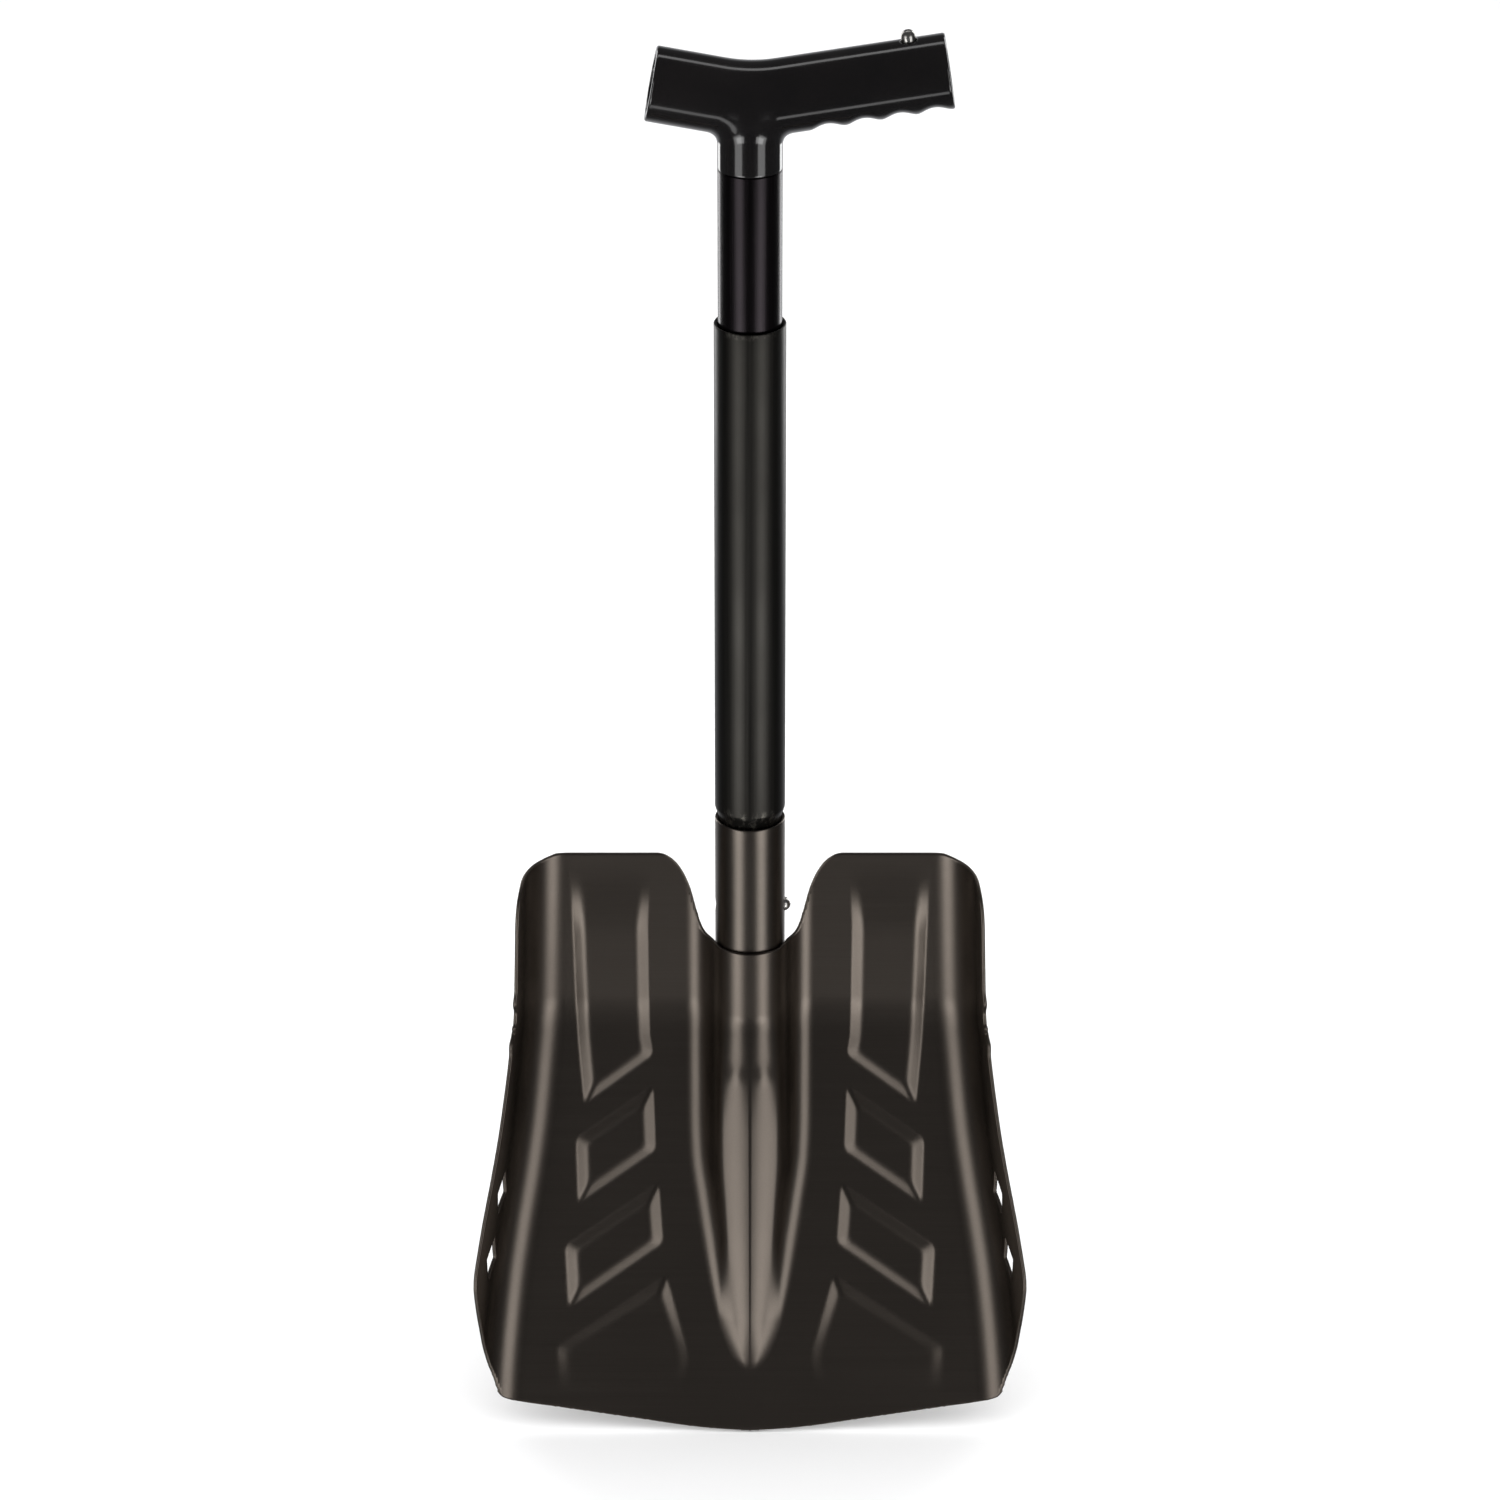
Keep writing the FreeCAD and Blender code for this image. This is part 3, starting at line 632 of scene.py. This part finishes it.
def grip_field(x, y, z):
    """Signed distance of the moulded grip, about the root of its arms."""
    along_right, along_left, up = arm_frame(x, z)
    oval = np.sqrt((up / ARM_HIGH) ** 2 + (y / ARM_DEEP) ** 2)
    skin = (oval - 1) * np.where(oval > 0.3, np.hypot(up, y) / np.maximum(oval, 0.3), ARM_DEEP)
    ends = np.maximum(along_right - RIGHT_LEN, along_left - LEFT_LEN)
    arms = soft_max(skin, ends, 1.2)
    for centre in SCALLOPS:
        under = -np.hypot(up, 0.78 * y) * (up < 0)
        dip = np.hypot(along_right - centre - 3.5, under + ARM_HIGH + 7.0) - SCALLOP_R
        arms = soft_max(arms, -dip, 1.6)
    neck = soft_max(np.hypot(x, y) - SMALL_R, -z - (ARM_Z - LIP_Z), 0.8)
    neck = np.maximum(neck, z - 3)
    body = soft_min([arms, neck], NECK_BLEND)
    body = np.maximum(body, -z - (ARM_Z - LIP_Z))
    bore = np.maximum(np.hypot(up, y) - ARM_BORE, RIGHT_BORE_END - along_right)
    body = soft_max(body, -bore, 0.9)
    bore = np.maximum(np.hypot(up, y) - ARM_BORE, LEFT_BORE_END - along_left)
    body = soft_max(body, -bore, 0.9)
    hole = np.maximum(np.hypot(along_right - GRIP_BUTTON_AT, y) - SNAP_HOLE_R, -up)
    return soft_max(body, -hole, 0.6)


def steepest(field, points):
    """Gradient of a field at each point."""
    tiny = 0.02
    return np.stack([
        (field(*(points + tiny * e).T) - field(*(points - tiny * e).T)) / (2 * tiny)
        for e in np.eye(3)], axis=1)


def field_surface(field, low, high, step):
    """Mesh of a field's zero surface: one vertex per crossed cell, then
    moved along the gradient onto the surface."""
    axes = [np.arange(a, b + step, step) for a, b in zip(low, high)]
    gx, gy, gz = np.meshgrid(*axes, indexing="ij")
    values = field(gx, gy, gz)
    inside = values < 0
    cells = tuple(n - 1 for n in inside.shape)
    count = np.zeros(cells, int)
    for a in (0, 1):
        for b in (0, 1):
            for c in (0, 1):
                count += inside[a:a + cells[0], b:b + cells[1], c:c + cells[2]]
    crossed = (count > 0) & (count < 8)
    index = -np.ones(cells, int)
    index[crossed] = np.arange(crossed.sum())
    where = np.argwhere(crossed)
    points = np.stack([axes[n][where[:, n]] + step / 2 for n in range(3)], axis=1)
    for _ in range(5):
        here = field(*points.T)
        slope = steepest(field, points)
        size = np.maximum(0.2, (slope ** 2).sum(axis=1))
        move = slope * (here / size)[:, None]
        length = np.maximum(1e-9, np.linalg.norm(move, axis=1, keepdims=True))
        points = points - move * np.minimum(1, 0.6 * step / length)
    faces = []
    for axis in range(3):
        first = [slice(None)] * 3
        second = [slice(None)] * 3
        first[axis] = slice(0, -1)
        second[axis] = slice(1, None)
        change = inside[tuple(first)] != inside[tuple(second)]
        spots = np.argwhere(change)
        u, v = (axis + 1) % 3, (axis + 2) % 3
        ok = (spots[:, u] > 0) & (spots[:, v] > 0)
        ok &= (spots[:, u] < inside.shape[u] - 1) & (spots[:, v] < inside.shape[v] - 1)
        spots = spots[ok]
        ids = []
        for du, dv in ((-1, -1), (0, -1), (0, 0), (-1, 0)):
            cell = spots.copy()
            cell[:, u] += du
            cell[:, v] += dv
            ids.append(index[cell[:, 0], cell[:, 1], cell[:, 2]])
        ids = np.stack(ids, axis=1)
        solid_first = inside[spots[:, 0], spots[:, 1], spots[:, 2]]
        ids[~solid_first] = ids[~solid_first][:, ::-1]
        faces += ids.tolist()
    return points, faces


def build_grip():
    """The moulded grip and its neck, down to the lip."""
    step = GRIP_STEP
    points, faces = field_surface(grip_field, (-52, -18, -33), (92, 18, 36), step)
    normals = steepest(grip_field, points)
    normals = normals / np.maximum(1e-6, np.linalg.norm(normals, axis=1, keepdims=True))
    points = points + np.array([0, 0, ARM_Z])
    grip = make_object("grip_moulding", points, faces)
    grip.data.normals_split_custom_set_from_vertices(normals.tolist())
    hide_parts("grip_body")
    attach(grip, "handle")
    return grip


# ---- snap springs -------------------------------------------------------------
def build_spring(part):
    """Leaf spring copied from the CAD part and baked in place; it does not flex, so its leg
    behind the button stays put.
    """
    node = part + "_snap_spring"
    button = part.replace("_shaft", "") + "_button"
    joint = next(j for j in frame["joints"] if j["child"] == button)
    mesh = frame["nodes"][node].data.copy()
    spring = bpy.data.objects.new(part + "_spring", mesh)
    bpy.context.scene.collection.objects.link(spring)
    points = np.array([v.co for v in mesh.vertices])
    inward = np.array(joint["axis"], float)
    inward /= np.linalg.norm(inward)
    middle = points.mean(axis=0)
    middle -= inward * (middle @ inward)
    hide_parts(node)
    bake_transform(spring)
    return spring


# ---- materials ----------------------------------------------------------------
class Paint:
    """Small builder for one procedural material."""

    def __init__(self, name, color, metallic, roughness):
        self.mat = bpy.data.materials.new(name)
        self.mat.use_nodes = True
        self.tree = self.mat.node_tree
        self.shader = self.tree.nodes["Principled BSDF"]
        self.shader.inputs["Base Color"].default_value = (*color, 1)
        self.shader.inputs["Metallic"].default_value = metallic
        self.shader.inputs["Roughness"].default_value = roughness
        self.color = color
        self.coords = self.add("ShaderNodeTexCoord").outputs["Object"]
        self.normal = None

    def add(self, kind, **settings):
        node = self.tree.nodes.new(kind)
        for key, value in settings.items():
            setattr(node, key, value)
        return node

    def link(self, a, b):
        self.tree.links.new(a, b)

    def noise(self, scale, detail=4.0, stretch=(1, 1, 1), rough=0.55):
        mapping = self.add("ShaderNodeMapping")
        mapping.inputs["Scale"].default_value = stretch
        self.link(self.coords, mapping.inputs["Vector"])
        noise = self.add("ShaderNodeTexNoise")
        noise.inputs["Scale"].default_value = scale
        noise.inputs["Detail"].default_value = detail
        noise.inputs["Roughness"].default_value = rough
        self.link(mapping.outputs["Vector"], noise.inputs["Vector"])
        return noise.outputs["Fac"]

    def spread(self, value, low, high, start=0.3, end=0.7):
        node = self.add("ShaderNodeMapRange")
        node.inputs["From Min"].default_value = start
        node.inputs["From Max"].default_value = end
        node.inputs["To Min"].default_value = low
        node.inputs["To Max"].default_value = high
        self.link(value, node.inputs["Value"])
        return node.outputs["Result"]

    def multiply(self, a, b):
        node = self.add("ShaderNodeMath", operation="MULTIPLY")
        self.link(a, node.inputs[0])
        self.link(b, node.inputs[1])
        return node.outputs["Value"]

    def plus(self, a, b):
        node = self.add("ShaderNodeMath", operation="ADD")
        self.link(a, node.inputs[0])
        self.link(b, node.inputs[1])
        return node.outputs["Value"]

    def shade(self, previous, color, amount):
        """Lay a colour over the previous one by a factor."""
        mix = self.add("ShaderNodeMix", data_type="RGBA")
        self.link(amount, mix.inputs["Factor"])
        if isinstance(previous, tuple):
            mix.inputs[6].default_value = (*previous, 1)
        else:
            self.link(previous, mix.inputs[6])
        mix.inputs[7].default_value = (*color, 1)
        return mix.outputs[2]

    def bump(self, height, distance, strength=1.0):
        node = self.add("ShaderNodeBump")
        node.inputs["Distance"].default_value = distance
        node.inputs["Strength"].default_value = strength
        self.link(height, node.inputs["Height"])
        if self.normal is not None:
            self.link(self.normal, node.inputs["Normal"])
        self.normal = node.outputs["Normal"]

    def brush(self, amount, kind, turn=0.0):
        """Stretch reflections across the brush lines."""
        if kind == "UV_MAP":
            tangent = self.add("ShaderNodeTangent", direction_type=kind, uv_map="length")
        else:
            tangent = self.add("ShaderNodeTangent", direction_type=kind, axis="Z")
        self.shader.inputs["Anisotropic"].default_value = amount
        self.shader.inputs["Anisotropic Rotation"].default_value = turn
        self.link(tangent.outputs["Tangent"], self.shader.inputs["Tangent"])

    def finish(self, color=None, roughness=None):
        if color is not None:
            self.link(color, self.shader.inputs["Base Color"])
        if roughness is not None:
            self.link(roughness, self.shader.inputs["Roughness"])
        if self.normal is not None:
            self.link(self.normal, self.shader.inputs["Normal"])
        return self.mat


def brushed_metal(name, color, light, roughness, grain, kind, turn):
    """Anodised aluminium with a directional brush grain.
    grain is how often the lines repeat per metre along each axis."""
    paint = Paint(name, color, 1.0, roughness)
    fine = paint.noise(1.0, 2.0, grain, 0.7)
    coarse = paint.noise(1.0, 2.0, tuple(g * 0.3 for g in grain), 0.6)
    cloud = paint.noise(9.0, 3.0)
    base = paint.shade(color, light, paint.spread(fine, 0.0, 0.3))
    base = paint.shade(base, tuple(c * 0.8 for c in color), paint.spread(cloud, 0.0, 0.4))
    rub = paint.noise(46.0, 5.0, (1, 1, 1), 0.65)
    marks = paint.spread(rub, 0.0, 0.16, 0.68, 0.82)
    base = paint.shade(base, tuple(min(1, c * 1.4) for c in light), marks)
    rough = paint.plus(paint.spread(coarse, roughness - 0.012, roughness + 0.014),
                       paint.spread(cloud, -0.02, 0.03))
    paint.bump(fine, 0.00002, 0.25)
    paint.brush(0.4, kind, turn)
    return paint.finish(base, rough)


def shaft_metal(name, color, roughness, scuffs=()):
    """Black anodised tube: lengthwise draw lines, scuffs in bands."""
    paint = Paint(name, color, 1.0, roughness)
    fine = paint.noise(1.0, 3.0, (900, 900, 7), 0.65)
    cloud = paint.noise(14.0, 3.0)
    light = tuple(c * 1.55 for c in color)
    base = paint.shade(color, light, paint.spread(fine, 0.0, 0.6))
    base = paint.shade(base, tuple(c * 0.7 for c in color), paint.spread(cloud, 0.0, 0.5))
    rough = paint.plus(paint.spread(fine, roughness - 0.03, roughness + 0.05),
                       paint.spread(cloud, -0.02, 0.03))
    if scuffs:
        split = paint.add("ShaderNodeSeparateXYZ")
        paint.link(paint.coords, split.inputs["Vector"])
        specks = paint.spread(paint.noise(260.0, 6.0, (1, 1, 0.5), 0.75), 0.0, 1.0, 0.5, 0.66)
        for low, high, amount in scuffs:
            middle, half = (low + high) / 2 * MM, (high - low) / 2 * MM
            offset = paint.add("ShaderNodeMath", operation="SUBTRACT")
            paint.link(split.outputs["Z"], offset.inputs[0])
            offset.inputs[1].default_value = middle
            size = paint.add("ShaderNodeMath", operation="ABSOLUTE")
            paint.link(offset.outputs["Value"], size.inputs[0])
            band = paint.spread(size.outputs["Value"], amount, 0.0, half * 0.4, half)
            base = paint.shade(base, (0.20, 0.19, 0.165), paint.multiply(band, specks))
    paint.bump(fine, 0.00003, 0.4)
    paint.brush(0.4, "RADIAL")
    return paint.finish(base, rough)


def gloss_plastic():
    """Gloss black moulding with faint waviness and fine rub marks."""
    paint = Paint("grip_gloss_black", (0.0024, 0.002, 0.0022), 0.0, 0.13)
    paint.shader.inputs["Specular IOR Level"].default_value = 0.62
    paint.shader.inputs["Coat Weight"].default_value = 0.35
    paint.shader.inputs["Coat Roughness"].default_value = 0.06
    cloud = paint.noise(22.0, 3.0)
    fine = paint.noise(420.0, 5.0, (1, 1, 1), 0.6)
    hair = paint.spread(paint.noise(1.0, 2.0, (30, 900, 500), 0.5), 0.0, 1.0, 0.62, 0.74)
    base = paint.shade((0.0018, 0.0015, 0.0017), (0.0042, 0.0034, 0.0034),
                       paint.spread(cloud, 0.0, 1.0))
    rough = paint.plus(paint.spread(cloud, 0.10, 0.17), paint.spread(hair, 0.0, 0.07, 0, 1))
    paint.bump(cloud, 0.0006, 0.25)
    paint.bump(fine, 0.00002, 0.2)
    return paint.finish(base, rough)


def polished_steel():
    """Plated snap button with turning marks and handling haze."""
    paint = Paint("button_steel", (0.62, 0.6, 0.56), 1.0, 0.16)
    haze = paint.noise(300.0, 4.0)
    fine = paint.noise(1600.0, 3.0)
    base = paint.shade((0.52, 0.51, 0.49), (0.27, 0.26, 0.24), paint.spread(haze, 0.0, 0.6))
    rough = paint.spread(haze, 0.18, 0.36)
    paint.bump(fine, 0.00003, 0.4)
    return paint.finish(base, rough)


def spring_steel():
    """Plain strip steel with rolling lines."""
    paint = Paint("spring_steel", (0.36, 0.36, 0.37), 1.0, 0.32)
    lines = paint.noise(1.0, 3.0, (900, 900, 60), 0.6)
    cloud = paint.noise(80.0, 3.0)
    base = paint.shade((0.40, 0.40, 0.41), (0.22, 0.21, 0.2), paint.spread(cloud, 0.0, 0.7))
    rough = paint.spread(lines, 0.24, 0.42)
    paint.bump(lines, 0.00003, 0.5)
    return paint.finish(base, rough)


def weld_metal():
    """Rippled weld bead under the same anodising."""
    paint = Paint("weld_bead", (0.17, 0.16, 0.15), 1.0, 0.42)
    wave = paint.add("ShaderNodeTexWave", wave_type="BANDS", bands_direction="Z",
                     wave_profile="SIN")
    wave.inputs["Scale"].default_value = 150.0
    wave.inputs["Distortion"].default_value = 1.6
    wave.inputs["Detail"].default_value = 2.0
    paint.link(paint.coords, wave.inputs["Vector"])
    cloud = paint.noise(240.0, 3.0)
    base = paint.shade((0.2, 0.19, 0.18), (0.09, 0.085, 0.08), paint.spread(cloud, 0.0, 0.8))
    rough = paint.spread(cloud, 0.32, 0.52)
    paint.bump(wave.outputs["Fac"], 0.0007, 0.8)
    paint.bump(cloud, 0.0002, 0.5)
    return paint.finish(base, rough)


def bare_edge():
    """Sheared edge of the sheet where the anodising is thinnest."""
    paint = Paint("sheared_edge", (0.3, 0.28, 0.25), 1.0, 0.36)
    lines = paint.noise(700.0, 4.0, (1, 1, 1), 0.7)
    cloud = paint.noise(60.0, 3.0)
    base = paint.shade((0.34, 0.32, 0.285), (0.14, 0.13, 0.12), paint.spread(cloud, 0.0, 0.8))
    rough = paint.spread(lines, 0.3, 0.48)
    paint.bump(lines, 0.00008, 0.5)
    return paint.finish(base, rough)


def dress(obj, *materials):
    """Give an object its material slots in order."""
    mesh = obj.data
    mesh.materials.clear()
    for mat in materials:
        mesh.materials.append(mat)


# ---- assembly -----------------------------------------------------------------
blade_metal = brushed_metal("blade_brushed", (0.123, 0.105, 0.090), (0.16, 0.139, 0.12),
                            0.34, (14, 2600, 2600), "UV_MAP", 0.0)
socket_metal = brushed_metal("socket_brushed", (0.118, 0.102, 0.088), (0.15, 0.131, 0.113),
                             0.32, (400, 400, 2600), "RADIAL", 0.25)
edge_metal = bare_edge()
lower_metal = shaft_metal("lower_shaft_black", (0.030, 0.0285, 0.026), 0.34,
                          ((-6, 10, 0.85), (-89, -84, 0.6), (238, 242, 0.35)))
upper_metal = shaft_metal("upper_shaft_black", (0.021, 0.018, 0.02), 0.22,
                          ((57, 62, 0.4),))
grip_plastic = gloss_plastic()
button_metal = polished_steel()
strip_steel = spring_steel()
bead_metal = weld_metal()

dress(build_blade(), blade_metal, edge_metal)
tubes = build_tubes()
dress(tubes["socket"], socket_metal, edge_metal)
dress(tubes["lower"], lower_metal, lower_metal)
dress(tubes["upper"], upper_metal, upper_metal)
dress(build_grip(), grip_plastic)

for part in ("lower_shaft", "upper_shaft", "grip"):
    dress(build_spring(part), strip_steel)

finishes = {"snap_button": button_metal, "cross_pin": button_metal,
            "socket_weld": bead_metal}
for node, shape in frame["nodes"].items():
    for key, mat in finishes.items():
        if key in node:
            for i in range(len(shape.material_slots)):
                shape.material_slots[i].material = mat


# ---- stage, light and camera -----------------------------------------------------
def build_floor(level):
    """Wide pale floor under the shovel."""
    mesh = bpy.data.meshes.new("floor")
    corners = [(x * FLOOR_HALF, y * FLOOR_HALF, level)
               for x, y in ((-1, -1), (1, -1), (1, 1), (-1, 1))]
    mesh.from_pydata(corners, [], [(0, 1, 2, 3)])
    floor = bpy.data.objects.new("floor", mesh)
    bpy.context.scene.collection.objects.link(floor)
    paint = Paint("floor_pale", (0.86, 0.86, 0.86), 0.0, 0.9)
    cloud = paint.noise(3.0, 2.0)
    base = paint.shade((0.86, 0.86, 0.86), (0.852, 0.852, 0.854), paint.spread(cloud, 0, 1))
    dress(floor, paint.finish(base))
    floor.visible_glossy = False
    floor.visible_shadow = False


def area_light(name, where, target, wide, tall, power):
    """Soft box aimed at a point."""
    light = bpy.data.lights.new(name, "AREA")
    light.shape = "RECTANGLE"
    light.size = wide
    light.size_y = tall
    light.energy = power
    obj = bpy.data.objects.new(name, light)
    obj.location = where
    obj.rotation_euler = (Vector(target) - Vector(where)).to_track_quat("-Z", "Y").to_euler()
    obj.visible_camera = False
    bpy.context.scene.collection.objects.link(obj)
    return obj


def build_world():
    """White surroundings for the eye; for reflections a dim room with a
    white wall behind the shovel."""
    world = bpy.data.worlds.new("studio")
    bpy.context.scene.world = world
    world.use_nodes = True
    nodes, links = world.node_tree.nodes, world.node_tree.links
    nodes.clear()
    out = nodes.new("ShaderNodeOutputWorld")
    mix = nodes.new("ShaderNodeMixShader")
    path = nodes.new("ShaderNodeLightPath")
    way = nodes.new("ShaderNodeTexCoord")
    toward = nodes.new("ShaderNodeVectorMath")
    toward.operation = "DOT_PRODUCT"
    toward.inputs[1].default_value = (0, math.cos(LEAN), -math.sin(LEAN))
    wall = nodes.new("ShaderNodeMapRange")
    wall.inputs["From Min"].default_value = 0.62
    wall.inputs["From Max"].default_value = 0.93
    wall.inputs["To Min"].default_value = ROOM_LIGHT
    wall.inputs["To Max"].default_value = WALL_LIGHT
    room = nodes.new("ShaderNodeBackground")
    room.inputs["Color"].default_value = (0.96, 0.97, 1.0, 1)
    eye = nodes.new("ShaderNodeBackground")
    eye.inputs["Color"].default_value = (EYE_WHITE, EYE_WHITE, EYE_WHITE, 1)
    links.new(way.outputs["Generated"], toward.inputs[0])
    links.new(toward.outputs["Value"], wall.inputs["Value"])
    links.new(wall.outputs["Result"], room.inputs["Strength"])
    links.new(path.outputs["Is Camera Ray"], mix.inputs[0])
    links.new(room.outputs[0], mix.inputs[1])
    links.new(eye.outputs[0], mix.inputs[2])
    links.new(mix.outputs[0], out.inputs[0])


def build_camera():
    """Long lens at the elevation that faces the blade squarely."""
    rise = LEAN
    back = Vector((0, -math.cos(rise), math.sin(rise)))
    up = Vector((0, math.sin(rise), math.cos(rise)))
    target = up * VIEW_RISE
    data = bpy.data.cameras.new("camera")
    data.lens = LENS
    data.sensor_width = SENSOR
    distance = VIEW_HEIGHT / 2 / (SENSOR / 2 / LENS)
    camera = bpy.data.objects.new("camera", data)
    camera.location = target + back * distance
    camera.rotation_euler = (-back).to_track_quat("-Z", "Y").to_euler()
    data.clip_end = 50
    bpy.context.scene.collection.objects.link(camera)
    bpy.context.scene.camera = camera


build_floor(cad_bounds[0][2])
build_world()
build_camera()
bpy.context.scene.view_settings.view_transform = "Standard"
aim = (0, -0.03, -0.05)
for side in (-1, 1):
    tag = "left" if side < 0 else "right"
    area_light("soft_front_" + tag, (side * 1.22, -1.40, -0.12), aim, 0.85, 2.3, 12)
    area_light("soft_low_" + tag, (side * 0.90, -1.42, -0.66), aim, 0.75, 0.5, 3.3)
    area_light("soft_back_" + tag, (side * 1.19, 1.42, 0.3), aim, 0.6, 2.0, 13)
area_light("strip_top", (0.0, 0.62, 2.3), (0, 0, 0.3), 2.2, 0.35, 4.2)
area_light("strip_under", (-0.35, -1.25, -1.35), (0, 0, 0.3), 1.5, 0.3, 2.0)
fill = area_light("fill_top", (0.0, -0.3, 2.8), (0, 0, -0.2), 3.0, 3.0, 6)
fill.visible_glossy = False
sky = bpy.data.lights.new("fill_sky", "SUN")
sky.energy = 3.3
sky.angle = math.radians(100)
sky_object = bpy.data.objects.new("fill_sky", sky)
sky_object.visible_glossy = False
bpy.context.scene.collection.objects.link(sky_object)
